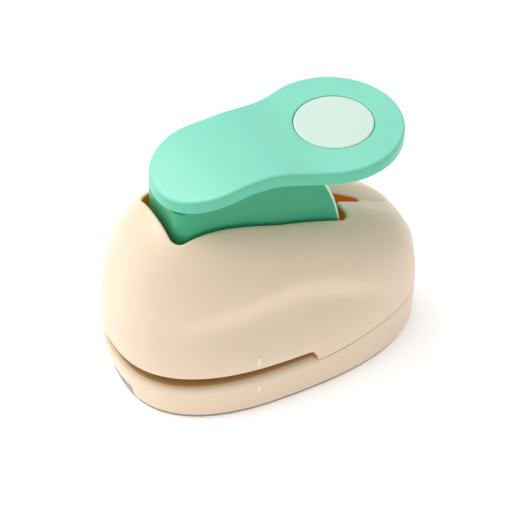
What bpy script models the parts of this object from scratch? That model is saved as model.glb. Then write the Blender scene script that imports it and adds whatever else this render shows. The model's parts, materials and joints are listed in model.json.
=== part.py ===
"""Lever punch for cutting paper circles: a moulded housing round a steel punch and die.

Frame: +Z up, +Y to the rear, +X to the right of the object, origin at the bottom centre.
The throat for the paper and the lever's pivot are at the front, towards -Y.
Every size below is in millimetres. The meshes are scaled to metres as they are made.
"""

import math

import bmesh
import bpy

MM = 0.001
GAP = 0.3
AROUND = 48

# Housing: its plan is an oval whose front and rear halves share the widest line, y = MIDDLE_Y.
MIDDLE_Y = -3.3
OVAL_POWER = 2.5
BULGE = {"z": 19.6, "half_width": 31.9, "front": 50.2, "rear": 56.8}
FOOT = {"z": 1.3, "half_width": 31.5, "front": 47.6, "rear": 56.0}
CROWN_POWER = 2.31
CROWN_HEIGHT = 61.1
CROWN_SLOPE = -0.364
CROWN_CURVE = 0.003
WALL = 2.4
DECK_Z = 14.2
DECK_THICK = 2.2
LIP_ROUND = 0.6

# Throat, where the paper goes in, and the opening for the lever.
THROAT_TOP = 18.6
THROAT_END_TOP = 2.0
THROAT_END_FOOT = 5.0
OPENING_HALF_WIDTH = 12.9
OPENING_FRONT = -36.4
OPENING_REAR = 25.2
SLIT_END = 35.7

# Punch and die.
PUNCH_Y = -16.8
SHAPE_DIAMETER = 25.4
DIE_HOLE_RADIUS = SHAPE_DIAMETER / 2 + 0.2
PUNCH_RADIUS = SHAPE_DIAMETER / 2 - 0.1
PUNCH_FOOT = 19.4
DIE_FOOT = DECK_Z - 4.6
GUIDE_THICK = 3.0
GUIDE_TOP = THROAT_TOP + GUIDE_THICK
RAM_FLANGE_Z = 34.5
RAM_FLANGE_THICK = 3.0
RAM_COLUMN_RADIUS = 8.0
GUIDE_PIN_X = 18.0
POST_X = 15.0
POST_Y = 7.7
PLATE_REAR = 12.7

# Lever: it turns on a cross pin at the front, and its nose meets the ram level with that pin.
PIVOT_Y = -36.8
PIVOT_Z = 44.0
PIN_RADIUS = 2.0
KNUCKLE_RADIUS = 4.3
NOSE_RADIUS = 3.0
RAM_TOP = PIVOT_Z - GAP
SKIRT_HALF_WIDTH = 12.3
SKIRT_FRONT = -34.7
SKIRT_REAR_RADIUS = 59.6
SKIRT_WALL = 2.0
SKIRT_ROUND = 4.8
SKIRT_FOOT = 41.0
PAD_TOP = 80.6
PAD_THICK = 5.5
PAD_REAR_Y = 24.3
PAD_REAR_RADIUS = 23.7
PAD_FRONT_Y = -17.7
PAD_FRONT_RADIUS = 17.5
PAD_FRONT_REACH = 18.8
PAD_FRONT_POWER = 2.15
PAD_WAIST = 17.3
ARCH_RISE = 3.0
ARCH_START = 11.0
ARCH_CREST = 33.0
ARCH_FALL = 0.0062
BADGE_Y = 25.8

# Underside: a fixed frame, and in it a hinged door that lets the cut pieces out.
FRAME_TOP = 3.0
FLANGE_TOP = 1.0
DOOR_INSET = 8.4
DOOR_FOOT = 0.3
DOOR_REAR = 31.2
DOOR_PIN_Y = 34.2
DOOR_PIN_Z = 1.9
DOOR_SWING_GAP = 0.8
DOOR_PIN_RADIUS = 0.7
KNUCKLE_TUBE_RADIUS = 1.6
TAB_HALF_WIDTH = 8.8
TAB_TOP = 7.0
HOUSING_SCREWS = {"front": (23.5, 17.2), "rear": (14.5, 33.2)}
HOUSING_SCREW_END = DECK_Z + 10.5
FRAME_SCREW = (25.9, -16.8)


def clear_scene():
    for obj in list(bpy.data.objects):
        bpy.data.objects.remove(obj, do_unlink=True)


def new_collection(name):
    collection = bpy.data.collections.new(name)
    bpy.context.scene.collection.children.link(collection)
    return collection


clear_scene()
PUNCH = new_collection("lever_punch")
CUTTERS = new_collection("cutters")


# ---------------------------------------------------------------- materials


def linear(channel):
    return channel / 12.92 if channel <= 0.04045 else ((channel + 0.055) / 1.055) ** 2.4


def plain_material(name, hex_colour, roughness, metallic=0.0):
    material = bpy.data.materials.new(name)
    material.use_nodes = True
    shader = material.node_tree.nodes["Principled BSDF"]
    channels = [int(hex_colour[i : i + 2], 16) / 255 for i in (0, 2, 4)]
    shader.inputs["Base Color"].default_value = [*map(linear, channels), 1.0]
    shader.inputs["Roughness"].default_value = roughness
    shader.inputs["Metallic"].default_value = metallic
    return material


CREAM = plain_material("cream_plastic", "f0e0cd", 0.38)
MINT = plain_material("mint_plastic", "8fe3cb", 0.32)
PALE = plain_material("pale_badge", "d6ece0", 0.35)
GREY = plain_material("grey_plastic", "8f8782", 0.45)
STEEL = plain_material("bright_steel", "b9bcbf", 0.28, 1.0)
DIE_STEEL = plain_material("tool_steel", "9a9da1", 0.34, 1.0)
SPRING = plain_material("spring_steel", "a9acb0", 0.3, 1.0)
RAM_PLASTIC = plain_material("white_acetal", "e9e6df", 0.42)


# ------------------------------------------------------- objects and meshes


def to_metres(points):
    return [tuple(value * MM for value in point) for point in points]


def mesh_object(name, points, faces, collection):
    mesh = bpy.data.meshes.new(name)
    mesh.from_pydata(to_metres(points), [], faces)
    work = bmesh.new()
    work.from_mesh(mesh)
    bmesh.ops.recalc_face_normals(work, faces=work.faces)
    work.to_mesh(mesh)
    work.free()
    obj = bpy.data.objects.new(name, mesh)
    collection.objects.link(obj)
    return obj


def as_cutter(obj):
    obj.hide_render = True
    obj.display_type = "WIRE"
    return obj


def finish(obj, material, empty, smooth_angle=35):
    """Gives a part its material and shading, and hangs it from its body's empty."""
    obj.data.materials.clear()
    obj.data.materials.append(material)
    if obj.type == "MESH":
        obj.data.shade_smooth()
        obj.data.set_sharp_from_angle(angle=math.radians(smooth_angle))
    obj.parent = empty
    obj.matrix_parent_inverse = empty.matrix_world.inverted()
    return obj


def body_empty(name, y, z):
    empty = bpy.data.objects.new(name, None)
    empty.empty_display_size = 10 * MM
    empty.location = (0, y * MM, z * MM)
    PUNCH.objects.link(empty)
    bpy.context.view_layer.update()
    return empty


def boolean(obj, other, operation="DIFFERENCE"):
    modifier = obj.modifiers.new(f"{operation.lower()}_{other.name}", "BOOLEAN")
    modifier.object = other
    modifier.operation = operation
    return obj


def box(name, low, high, collection=CUTTERS):
    size = [b - a for a, b in zip(low, high)]
    centre = [(a + b) / 2 for a, b in zip(low, high)]
    mesh = bpy.data.meshes.new(name)
    work = bmesh.new()
    bmesh.ops.create_cube(work, size=1)
    for vert in work.verts:
        vert.co = [(c + v * s) * MM for c, v, s in zip(centre, vert.co, size)]
    work.to_mesh(mesh)
    work.free()
    obj = bpy.data.objects.new(name, mesh)
    collection.objects.link(obj)
    return as_cutter(obj) if collection is CUTTERS else obj


def cylinder(name, centre, radius, low, high, axis="Z", sides=24, collection=CUTTERS):
    """A round bar from low to high along axis, centred on the other two coordinates."""
    mesh = bpy.data.meshes.new(name)
    work = bmesh.new()
    bmesh.ops.create_cone(
        work, cap_ends=True, segments=sides, radius1=radius, radius2=radius, depth=high - low
    )
    middle = (low + high) / 2
    for vert in work.verts:
        x, y, z = vert.co
        if axis == "X":
            x, y, z = z + middle, centre[0] + y, centre[1] - x
        else:
            x, y, z = centre[0] + x, centre[1] + y, z + middle
        vert.co = (x * MM, y * MM, z * MM)
    work.to_mesh(mesh)
    work.free()
    obj = bpy.data.objects.new(name, mesh)
    collection.objects.link(obj)
    return as_cutter(obj) if collection is CUTTERS else obj


def turned(name, profile, centre, sides=20):
    """A solid of revolution about a vertical axis. The profile runs from its top to its foot."""
    mesh = bpy.data.meshes.new(name)
    points = [(radius * MM, 0, height * MM) for radius, height in profile]
    edges = [(i, i + 1) for i in range(len(points) - 1)]
    mesh.from_pydata(points, edges, [])
    obj = bpy.data.objects.new(name, mesh)
    obj.location = (centre[0] * MM, centre[1] * MM, 0)
    PUNCH.objects.link(obj)
    screw = obj.modifiers.new("turn", "SCREW")
    screw.steps = screw.render_steps = sides
    screw.use_merge_vertices = True
    screw.merge_threshold = 1e-5
    bpy.context.view_layer.update()
    return obj


def prism(name, outline, low, high, axis="Z", collection=CUTTERS):
    """A flat outline, given as corners in order, drawn out from low to high along axis."""
    count = len(outline)
    points = []
    for level in (low, high):
        for a, b in outline:
            points.append((a, b, level) if axis == "Z" else (level, a, b))
    faces = [list(range(count)), list(range(count, 2 * count))]
    faces += [(i, (i + 1) % count, count + (i + 1) % count, count + i) for i in range(count)]
    obj = mesh_object(name, points, faces, collection)
    return as_cutter(obj) if collection is CUTTERS else obj


def loft(name, rings, collection, close_start=False, close_end=False):
    """Skins a list of rings of equally many points, and caps either end on request."""
    count = len(rings[0])
    points = [point for ring in rings for point in ring]
    faces = []
    for k in range(len(rings) - 1):
        for i in range(count):
            a, b = k * count + i, k * count + (i + 1) % count
            faces.append((a, b, b + count, a + count))
    for wanted, ring_start in ((close_start, 0), (close_end, (len(rings) - 1) * count)):
        ring = points[ring_start : ring_start + count]
        if wanted and len({round(point[2], 6) for point in ring}) == 1:
            faces.append(tuple(range(ring_start, ring_start + count)))
        elif wanted:
            points.append(tuple(sum(values) / count for values in zip(*ring)))
            hub = len(points) - 1
            faces += [(ring_start + i, ring_start + (i + 1) % count, hub) for i in range(count)]
    return mesh_object(name, points, faces, collection)


# ------------------------------------------------------------ housing shape


def signed_power(value, power):
    return math.copysign(abs(value) ** power, value)


def oval(half_width, front, rear, z, count=AROUND, scale=1.0):
    """One ring of the housing's plan at height z, which may be a function of y."""
    ring = []
    for i in range(count):
        turn = 2 * math.pi * i / count
        x = half_width * scale * signed_power(math.cos(turn), 2 / OVAL_POWER)
        reach = rear if math.sin(turn) > 0 else front
        y = MIDDLE_Y + reach * scale * signed_power(math.sin(turn), 2 / OVAL_POWER)
        ring.append((x, y, z(y) if callable(z) else z))
    return ring


def wall_sizes(z, inset=0.0):
    """Half width, front reach and rear reach of the outer wall at a height below the bulge."""
    rise = (z - FOOT["z"]) / (BULGE["z"] - FOOT["z"])
    share = 1 - (1 - rise) ** 2
    return [
        FOOT[key] + (BULGE[key] - FOOT[key]) * share - inset
        for key in ("half_width", "front", "rear")
    ]


def crown(y):
    return CROWN_HEIGHT + CROWN_SLOPE * y + CROWN_CURVE * y * y


def dome_ring(angle_degrees):
    """A ring of the dome, from 0 degrees at the bulge to 90 degrees at the crown."""
    angle = math.radians(angle_degrees)
    scale = math.cos(angle) ** (2 / CROWN_POWER)
    lift = math.sin(angle) ** (2 / CROWN_POWER)
    return oval(
        BULGE["half_width"],
        BULGE["front"],
        BULGE["rear"],
        lambda y: BULGE["z"] + (crown(y) - BULGE["z"]) * lift,
        scale=scale,
    )


def shell_height(x, y):
    """Height of the shell's outer face above a point of its plan."""
    reach = BULGE["rear"] if y > MIDDLE_Y else BULGE["front"]
    out = abs(x / BULGE["half_width"]) ** OVAL_POWER + abs((y - MIDDLE_Y) / reach) ** OVAL_POWER
    lift = (1 - out ** (CROWN_POWER / OVAL_POWER)) ** (1 / CROWN_POWER)
    return BULGE["z"] + (crown(y) - BULGE["z"]) * lift


def rounded_outline(half_width, front, rear, radius, steps=5):
    """Corners of a rectangle in plan with all four corners rounded."""
    outline = []
    for x, y, start in (
        (half_width - radius, rear - radius, 0),
        (-half_width + radius, rear - radius, 90),
        (-half_width + radius, front + radius, 180),
        (half_width - radius, front + radius, 270),
    ):
        for i in range(steps + 1):
            turn = math.radians(start + 90 * i / steps)
            outline.append((x + radius * math.cos(turn), y + radius * math.sin(turn)))
    return outline


def sides(values):
    """The same offset on the right and on the left, with the word that names it."""
    return (("right", values), ("left", -values))


# --------------------------------------------------------------- the bodies

HOUSING = body_empty("housing_origin", 0, 0)
LEVER_AXIS = body_empty("lever_axis", PIVOT_Y, PIVOT_Z)
RAM_AXIS = body_empty("ram_axis", PUNCH_Y, PUNCH_FOOT)
DOOR_AXIS = body_empty("waste_door_axis", DOOR_PIN_Y, DOOR_PIN_Z)


def solidify(obj, thickness):
    modifier = obj.modifiers.new("wall", "SOLIDIFY")
    modifier.thickness = thickness * MM
    modifier.offset = -1
    modifier.use_even_offset = True
    return obj


def make_upper_shell():
    rings = [oval(*wall_sizes(z), z) for z in (DECK_Z + GAP, BULGE["z"] - 2)]
    rings += [dome_ring(angle) for angle in (0, 10, 20, 31, 42, 53, 64, 75, 83)]
    shell = loft("upper_shell", rings, PUNCH, close_end=True)
    solidify(shell, WALL)
    for row, (x, y) in HOUSING_SCREWS.items():
        for side, place in sides(x):
            outward = 1 + 3.6 / math.hypot(x, y)
            top = shell_height(place * outward, y * outward) - 0.9
            boss = cylinder(f"shell_boss_{row}_{side}", (place, y), 3.6, DECK_Z + GAP, top)
            boolean(shell, boss, "UNION")
            bore = cylinder(f"shell_bore_{row}_{side}", (place, y), 1.55, 10, HOUSING_SCREW_END + 1, sides=12)
            boolean(shell, bore)
    mouth = [
        (-70, 8),
        (THROAT_END_FOOT, 8),
        (THROAT_END_FOOT, DECK_Z + 1.2),
        (THROAT_END_TOP + 1.9, THROAT_TOP - 0.8),
        (THROAT_END_TOP + 1.0, THROAT_TOP - 0.15),
        (THROAT_END_TOP - 0.6, THROAT_TOP),
        (-70, THROAT_TOP),
    ]
    boolean(shell, prism("throat_cutter", mouth, -60, 60, "X"))
    opening = rounded_outline(OPENING_HALF_WIDTH, OPENING_FRONT, OPENING_REAR, 3.6)
    boolean(shell, prism("lever_opening_cutter", opening, 30, 95))
    slit = [(3.4, OPENING_REAR - 2), (1.0, SLIT_END), (-1.0, SLIT_END), (-3.4, OPENING_REAR - 2)]
    boolean(shell, prism("rear_slit_cutter", slit, 30, 95))
    return finish(shell, CREAM, HOUSING)


def make_base_housing():
    rings = [oval(*wall_sizes(z), z) for z in (FOOT["z"], 6.5, DECK_Z - LIP_ROUND)]
    rings.append(oval(*wall_sizes(DECK_Z, LIP_ROUND * 0.3), DECK_Z - LIP_ROUND * 0.3))
    rings.append(oval(*wall_sizes(DECK_Z, LIP_ROUND), DECK_Z))
    base = loft("base_housing", rings, PUNCH, close_start=True, close_end=True)
    under_deck = DECK_Z - DECK_THICK
    inner = [oval(*wall_sizes(z, WALL), z) for z in (FOOT["z"], under_deck - 1.0)]
    inner.insert(0, oval(*wall_sizes(FOOT["z"], WALL), FOOT["z"] - 3))
    inner.append(oval(*wall_sizes(under_deck, WALL + 1.0), under_deck))
    boolean(base, as_cutter(loft("base_cavity", inner, CUTTERS, True, True)))
    for row, (x, y) in HOUSING_SCREWS.items():
        for side, place in sides(x):
            tube = cylinder(f"base_tube_{row}_{side}", (place, y), 3.6, 5.2, DECK_Z - 1)
            boolean(base, tube, "UNION")
            hole = cylinder(f"base_hole_{row}_{side}", (place, y), 1.6, 0, 20, sides=12)
            boolean(base, hole)
    for side, place in sides(FRAME_SCREW[0]):
        spot = (place, FRAME_SCREW[1])
        boolean(base, cylinder(f"base_boss_{side}", spot, 2.6, FRAME_TOP + GAP, DECK_Z - 1), "UNION")
        boolean(base, cylinder(f"base_boss_hole_{side}", spot, 1.3, 0, 9.5, sides=12))
    boolean(base, cylinder("die_seat_cutter", (0, PUNCH_Y), 17.3, 5, 20, sides=AROUND))
    for side, place in sides(POST_X):
        boolean(base, cylinder(f"deck_hole_{side}", (place, POST_Y), 1.75, 5, 20, sides=12))
    notch = box(
        "door_tab_notch", (-TAB_HALF_WIDTH - 0.4, -60, -1), (TAB_HALF_WIDTH + 0.4, -43, TAB_TOP)
    )
    boolean(base, notch)
    return finish(base, CREAM, HOUSING)


def make_bottom_frame():
    flange = [oval(*wall_sizes(FOOT["z"], 0.7), z) for z in (0, FLANGE_TOP)]
    step = [oval(*wall_sizes(FOOT["z"], WALL + 1.0), z) for z in (FLANGE_TOP, FRAME_TOP)]
    frame = loft("bottom_frame", flange + step, PUNCH, close_start=True, close_end=True)
    inner = [oval(*wall_sizes(FOOT["z"], DOOR_INSET - GAP), z) for z in (-2, 6)]
    window = as_cutter(loft("door_window", inner, CUTTERS, True, True))
    boolean(window, box("window_rear_trim", (-50, DOOR_REAR + DOOR_SWING_GAP, -5), (50, 60, 9)))
    boolean(frame, window)
    tab = box(
        "frame_tab_notch", (-TAB_HALF_WIDTH - 0.4, -60, -1), (TAB_HALF_WIDTH + 0.4, -30, 6)
    )
    boolean(frame, tab)
    knuckle = box("knuckle_notch", (-6.3, DOOR_REAR - 2, -1), (6.3, DOOR_PIN_Y + 2.1, 6))
    boolean(frame, knuckle)
    for side, place in sides(FRAME_SCREW[0]):
        spot = (place, FRAME_SCREW[1])
        boolean(frame, cylinder(f"frame_bore_{side}", spot, 1.6, -1, 5, sides=12))
        boolean(frame, cylinder(f"frame_counterbore_{side}", spot, 2.6, -1, 1.7, sides=16))
    for side, place in sides(8.0):
        lug = cylinder(
            f"hinge_lug_{side}", (DOOR_PIN_Y, DOOR_PIN_Z), 1.8, place - 1.6, place + 1.6, "X", 16
        )
        boolean(frame, lug, "UNION")
    bore = cylinder(
        "hinge_bore", (DOOR_PIN_Y, DOOR_PIN_Z), DOOR_PIN_RADIUS + 0.3, -10.2, 10.2, "X", 12
    )
    boolean(frame, bore)
    return finish(frame, GREY, HOUSING)


def make_waste_door():
    """A shallow tray with a finger tab at the front and a hinge knuckle at the rear."""
    tray = [oval(*wall_sizes(FOOT["z"], DOOR_INSET), z) for z in (2.7, DOOR_FOOT)]
    door = loft("waste_door", tray, PUNCH, close_end=True)
    solidify(door, 1.3)
    boolean(door, box("door_rear_trim", (-50, DOOR_REAR, -5), (50, 60, 9)))
    sill = box("door_rear_wall", (-14.5, DOOR_REAR - 1.3, DOOR_FOOT), (14.5, DOOR_REAR, 2.7))
    boolean(door, sill, "UNION")
    skin = [oval(*wall_sizes(z, 0.3), z) for z in (1.3, TAB_TOP - 0.4)]
    skin.insert(0, oval(*wall_sizes(1.3, 0.5), DOOR_FOOT))
    tab = as_cutter(loft("door_tab", skin, CUTTERS, True, True))
    keep = box("door_tab_trim", (-TAB_HALF_WIDTH, -60, -1), (TAB_HALF_WIDTH, -47.6, 9))
    boolean(tab, keep, "INTERSECT")
    boolean(door, tab, "UNION")
    tongue = box("door_tongue", (-TAB_HALF_WIDTH, -48.6, DOOR_FOOT), (TAB_HALF_WIDTH, -41, 1.6))
    boolean(door, tongue, "UNION")
    arm = box("door_arm", (-5.9, DOOR_REAR - 1, DOOR_FOOT), (5.9, DOOR_PIN_Y, 2.7))
    boolean(door, arm, "UNION")
    knuckle = cylinder(
        "door_knuckle", (DOOR_PIN_Y, DOOR_PIN_Z), KNUCKLE_TUBE_RADIUS, -5.9, 5.9, "X", 16
    )
    boolean(door, knuckle, "UNION")
    bore = cylinder(
        "door_bore", (DOOR_PIN_Y, DOOR_PIN_Z), DOOR_PIN_RADIUS + 0.3, -8, 8, "X", 12
    )
    boolean(door, bore)
    return finish(door, GREY, DOOR_AXIS)


def make_waste_door_pin():
    pin = cylinder(
        "waste_door_pin", (DOOR_PIN_Y, DOOR_PIN_Z), DOOR_PIN_RADIUS, -9.4, 9.4, "X", 12,
        collection=PUNCH,
    )
    return finish(pin, STEEL, HOUSING)


# ------------------------------------------------------------ punch and die


def make_die_plate():
    plate = prism(
        "die_plate", rounded_outline(20.5, -35.8, PLATE_REAR, 4), DIE_FOOT, DECK_Z - DECK_THICK - GAP,
        collection=PUNCH,
    )
    seat = cylinder("die_seat", (0, PUNCH_Y), 17.0, DIE_FOOT + 1, DECK_Z, sides=AROUND)
    boolean(plate, seat, "UNION")
    hole = cylinder("die_hole", (0, PUNCH_Y), DIE_HOLE_RADIUS, 0, 20, sides=AROUND)
    boolean(plate, hole)
    for side, place in sides(POST_X):
        boolean(plate, cylinder(f"die_tap_{side}", (place, POST_Y), 1.75, 0, 20, sides=12))
    return finish(plate, DIE_STEEL, HOUSING)


def make_guide_plate():
    outline = rounded_outline(20.8, -42.3, PLATE_REAR, 5)
    plate = prism("guide_plate", outline, THROAT_TOP, GUIDE_TOP, collection=PUNCH)
    hole = cylinder("guide_hole", (0, PUNCH_Y), DIE_HOLE_RADIUS, 0, 40, sides=AROUND)
    boolean(plate, hole)
    for side, place in sides(POST_X):
        boolean(plate, cylinder(f"guide_post_hole_{side}", (place, POST_Y), 1.75, 0, 40, sides=12))
    for side, place in sides(18.6):
        spot = (place, PIVOT_Y)
        boolean(plate, cylinder(f"guide_tap_{side}", spot, 1.3, 0, 40, sides=12))
    return finish(plate, DIE_STEEL, HOUSING)


def make_frame_post(side, x):
    post = turned(
        f"frame_post_{side}",
        [(1.75, THROAT_TOP - GAP), (4.0, THROAT_TOP - GAP), (4.0, DECK_Z + GAP), (1.75, DECK_Z + GAP)],
        (x, POST_Y),
        16,
    )
    post.data.edges.add(1)
    post.data.edges[-1].vertices = (3, 0)
    return finish(post, STEEL, HOUSING)


def make_screw(name, centre, head_foot, head_top, shank_end, head_radius, shank_radius, body):
    """A pan-head screw. shank_end lies below the head for one driven down, above for one driven up."""
    down = shank_end < head_foot
    shoulder = head_foot if down else head_top
    crown_z = head_top if down else head_foot
    step = (head_top - head_foot) * 0.35 * (1 if down else -1)
    profile = [
        (0, crown_z),
        (head_radius * 0.75, crown_z),
        (head_radius, crown_z - step),
        (head_radius, shoulder),
        (shank_radius, shoulder),
        (shank_radius, shank_end),
        (0, shank_end),
    ]
    screw = turned(name, profile if down else profile[::-1], centre, 14)
    return finish(screw, STEEL, body)


def make_bracket(side, sign):
    """An upright that carries the lever's pin, standing on the guide plate on its own foot."""
    arc = [math.radians(15 * i) for i in range(13)]
    outline = [(PIVOT_Y + 3.8 * math.cos(a), PIVOT_Z + 3.8 * math.sin(a)) for a in arc]
    outline += [(PIVOT_Y - 3.8, GUIDE_TOP + GAP), (PIVOT_Y + 3.8, GUIDE_TOP + GAP)]
    inner, outer = sorted((14.2 * sign, 15.9 * sign))
    bracket = prism(f"lever_bracket_{side}", outline, inner, outer, "X", PUNCH)
    low, high = sorted((15.0 * sign, 20.6 * sign))
    foot = box(
        f"bracket_foot_{side}",
        (low, PIVOT_Y - 3.2, GUIDE_TOP + GAP),
        (high, PIVOT_Y + 3.2, GUIDE_TOP + GAP + 1.7),
    )
    boolean(bracket, foot, "UNION")
    spot = (18.6 * sign, PIVOT_Y)
    boolean(bracket, cylinder(f"bracket_foot_hole_{side}", spot, 1.3, 10, 30, sides=12))
    bore = cylinder(f"bracket_bore_{side}", (PIVOT_Y, PIVOT_Z), 2.3, inner - 5, outer + 5, "X", 16)
    boolean(bracket, bore)
    return finish(bracket, STEEL, HOUSING)


def make_punch():
    profile = [
        (2.0, RAM_FLANGE_Z - GAP),
        (PUNCH_RADIUS, RAM_FLANGE_Z - GAP),
        (PUNCH_RADIUS, PUNCH_FOOT),
        (PUNCH_RADIUS - 1.6, PUNCH_FOOT),
        (PUNCH_RADIUS - 2.4, PUNCH_FOOT + 1.2),
        (2.0, PUNCH_FOOT + 1.2),
    ]
    punch = turned("punch", profile, (0, PUNCH_Y), AROUND)
    punch.data.edges.add(1)
    punch.data.edges[-1].vertices = (len(profile) - 1, 0)
    return finish(punch, DIE_STEEL, RAM_AXIS)


def make_ram():
    outline = rounded_outline(22.5, PUNCH_Y - 8, PUNCH_Y + 8, 5)
    ram = prism(
        "ram", outline, RAM_FLANGE_Z, RAM_FLANGE_Z + RAM_FLANGE_THICK, collection=PUNCH
    )
    column = cylinder("ram_column", (0, PUNCH_Y), RAM_COLUMN_RADIUS, RAM_FLANGE_Z + 1, RAM_TOP, sides=32)
    boolean(ram, column, "UNION")
    boolean(ram, cylinder("ram_bore", (0, PUNCH_Y), 1.9, 20, 60, sides=12))
    boolean(ram, cylinder("ram_counterbore", (0, PUNCH_Y), 3.2, RAM_FLANGE_Z + 4.2, 60, sides=16))
    for side, place in sides(GUIDE_PIN_X):
        boolean(ram, cylinder(f"ram_guide_{side}", (place, PUNCH_Y), 1.8, 20, 60, sides=16))
    return finish(ram, RAM_PLASTIC, RAM_AXIS)


def make_guide_pin(side, x):
    foot, top = GUIDE_TOP + GAP, RAM_FLANGE_Z + 7
    profile = [(0, top), (1.1, top), (1.5, top - 0.4), (1.5, foot), (0, foot)]
    return finish(turned(f"guide_pin_{side}", profile, (x, PUNCH_Y), 16), STEEL, HOUSING)


def make_return_spring(side, x):
    """A compression spring round a guide pin, with closed end turns."""
    foot, top = GUIDE_TOP + 0.9, RAM_FLANGE_Z - 0.8
    turns, per_turn, coil_radius = 4.5, 10, 2.9
    count = int(turns * per_turn)
    curve = bpy.data.curves.new(f"return_spring_{side}", "CURVE")
    curve.dimensions = "3D"
    curve.bevel_depth = 0.45 * MM
    curve.bevel_resolution = 1
    curve.use_fill_caps = True
    spline = curve.splines.new("POLY")
    spline.points.add(count)
    for i in range(count + 1):
        turn = 2 * math.pi * i / per_turn
        place = (
            x + coil_radius * math.cos(turn),
            PUNCH_Y + coil_radius * math.sin(turn),
            foot + (top - foot) * i / count,
        )
        spline.points[i].co = (*[value * MM for value in place], 1)
    spring = bpy.data.objects.new(f"return_spring_{side}", curve)
    PUNCH.objects.link(spring)
    return finish(spring, SPRING, HOUSING)


# --------------------------------------------------------------- the lever


def pad_outline(inset=0.0, steps=9):
    """Two round lobes joined by hollow arcs, from the rear tip round to the right and back."""
    rear_r, front_r = PAD_REAR_RADIUS, PAD_FRONT_RADIUS
    span = PAD_REAR_Y - PAD_FRONT_Y

    def reach(hollow):
        rear = (rear_r + hollow) ** 2 - (PAD_WAIST + hollow) ** 2
        front = (front_r + hollow) ** 2 - (PAD_WAIST + hollow) ** 2
        return math.sqrt(rear) + math.sqrt(front)

    low, high = 1.0, 500.0
    for _ in range(60):
        middle = (low + high) / 2
        low, high = (middle, high) if reach(middle) < span else (low, middle)
    hollow = (low + high) / 2
    centre_x = PAD_WAIST + hollow
    centre_y = PAD_REAR_Y - math.sqrt((rear_r + hollow) ** 2 - centre_x**2)
    rear_turn = math.atan2(centre_y - PAD_REAR_Y, centre_x)
    front_turn = math.atan2(centre_y - PAD_FRONT_Y, centre_x)

    def arc(x, y, radius, start, end, count):
        return [
            (x + radius * math.cos(start + (end - start) * i / count),
             y + radius * math.sin(start + (end - start) * i / count))
            for i in range(count)
        ]

    half = arc(0, PAD_REAR_Y, rear_r - inset, math.pi / 2, rear_turn, steps)
    half += arc(centre_x, centre_y, hollow + inset, math.pi + rear_turn, math.pi + front_turn, 5)
    half += arc(0, PAD_FRONT_Y, front_r - inset, front_turn, 0, 2)
    for i in range(steps):
        turn = math.pi / 2 * i / (steps - 1)
        out = (front_r - inset) * abs(math.cos(turn)) ** (2 / PAD_FRONT_POWER)
        down = (PAD_FRONT_REACH - inset) * abs(math.sin(turn)) ** (2 / PAD_FRONT_POWER)
        half.append((out if i < steps - 1 else 0.0, PAD_FRONT_Y - down))
    return half + [(-x, y) for x, y in half[-2:0:-1]]


def pad_height(y):
    """Height of the pad's top: level round the disc, with a low arch in front of it."""
    ahead = BADGE_Y - y
    if ahead < ARCH_START:
        return PAD_TOP
    if ahead < ARCH_CREST:
        share = (ahead - ARCH_START) / (ARCH_CREST - ARCH_START)
        return PAD_TOP + ARCH_RISE * math.sin(share * math.pi / 2) ** 2
    return PAD_TOP + ARCH_RISE - ARCH_FALL * (ahead - ARCH_CREST) ** 2


def pad_ring(inset, depth):
    return [(x, y, pad_height(y) - depth) for x, y in pad_outline(inset)]


def ladder(ring_start, count):
    """Faces across a symmetric ring, each between two points on the right and two on the left."""
    faces = []
    for i in range(count // 2):
        corners = [i, i + 1, (count - i - 1) % count, (count - i) % count]
        faces.append([ring_start + k for k in dict.fromkeys(corners)])
    return faces


def make_pad(name):
    rings = [
        pad_ring(1.0, 0.0),
        pad_ring(0.3, 0.3),
        pad_ring(0.0, 1.0),
        pad_ring(0.0, PAD_THICK - 1.5),
        pad_ring(0.45, PAD_THICK - 0.45),
        pad_ring(1.5, PAD_THICK),
    ]
    count = len(rings[0])
    points = [point for ring in rings for point in ring]
    faces = ladder(0, count) + ladder((len(rings) - 1) * count, count)
    for start in range(0, (len(rings) - 1) * count, count):
        for i in range(count):
            a, b = start + i, start + (i + 1) % count
            faces.append((a, b, b + count, a + count))
    return mesh_object(name, points, faces, PUNCH)


def above_pad(name, depth):
    """Everything higher than a surface that follows the pad's top at a depth below it."""
    outline = [(y, pad_height(y) - depth) for y in range(-50, 61, 2)]
    return prism(name, outline + [(60, 120), (-50, 120)], -30, 30, "X")


def skirt_outline(inset):
    radius = SKIRT_ROUND - inset
    return rounded_outline(SKIRT_HALF_WIDTH - inset, SKIRT_FRONT + inset, 40 - inset, radius)


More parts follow.
